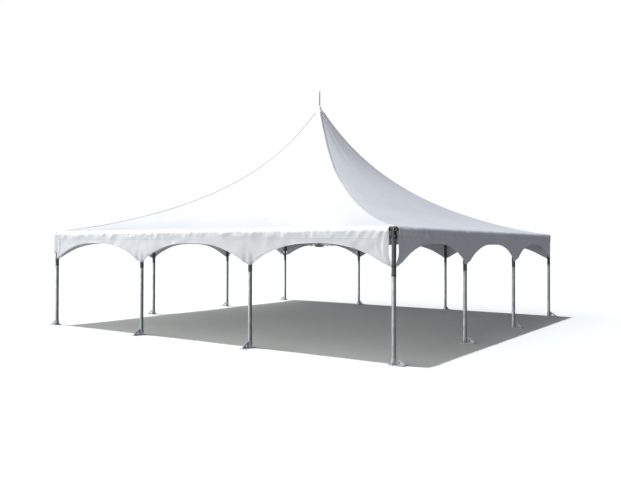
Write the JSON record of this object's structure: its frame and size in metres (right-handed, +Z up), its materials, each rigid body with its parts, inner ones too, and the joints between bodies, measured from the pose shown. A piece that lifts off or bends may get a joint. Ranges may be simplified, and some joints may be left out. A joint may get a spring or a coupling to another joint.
{
  "type": "high-peak marquee tent",
  "caption": "Square open-sided marquee with a high-peak fabric roof, scalloped valances, tube legs on base plates and a mast carried by cross cables.",
  "frame": {"origin": "on the ground under the peak, at the centre of the plan", "axes": "+Z up, the front faces -Y, +X to the right of someone looking at the front"},
  "size_m": [9.574, 9.574, 5.9578],
  "materials": {
    "white_vinyl": "coated white vinyl cloth, satin",
    "frame_tube": "mill-finish extruded tube",
    "zinc_plate": "galvanised welded plate",
    "cast_fitting": "galvanised welded tube fitting",
    "wire_rope": "galvanised wire rope"
  },
  "bodies": {
    "root": {"leg_front_left": "frame_tube", "foot_front_left": "zinc_plate", "leg_front_right": "frame_tube", "foot_front_right": "zinc_plate", "leg_right_front": "frame_tube", "foot_right_front": "zinc_plate", "leg_right_back": "frame_tube", "foot_right_back": "zinc_plate", "leg_back_right": "frame_tube", "foot_back_right": "zinc_plate", "leg_back_left": "frame_tube", "foot_back_left": "zinc_plate", "leg_left_back": "frame_tube", "foot_left_back": "zinc_plate", "leg_left_front": "frame_tube", "foot_left_front": "zinc_plate", "leg_front_left_corner": "frame_tube", "foot_front_left_corner": "zinc_plate", "leg_front_right_corner": "frame_tube", "foot_front_right_corner": "zinc_plate", "leg_back_left_corner": "frame_tube", "foot_back_left_corner": "zinc_plate", "leg_back_right_corner": "frame_tube", "foot_back_right_corner": "zinc_plate", "eave_rail_front": "frame_tube", "roof_gore_front": "white_vinyl", "valance_front": "white_vinyl", "eave_rail_right": "frame_tube", "roof_gore_right": "white_vinyl", "valance_right": "white_vinyl", "eave_rail_back": "frame_tube", "roof_gore_back": "white_vinyl", "valance_back": "white_vinyl", "eave_rail_left": "frame_tube", "roof_gore_left": "white_vinyl", "valance_left": "white_vinyl", "corner_fitting_front_left": "cast_fitting", "cross_cable_front_left": "wire_rope", "corner_fitting_front_right": "cast_fitting", "cross_cable_front_right": "wire_rope", "corner_fitting_back_left": "cast_fitting", "cross_cable_back_left": "wire_rope", "corner_fitting_back_right": "cast_fitting", "cross_cable_back_right": "wire_rope", "flying_mast": "frame_tube"}
  },
  "joints": []
}
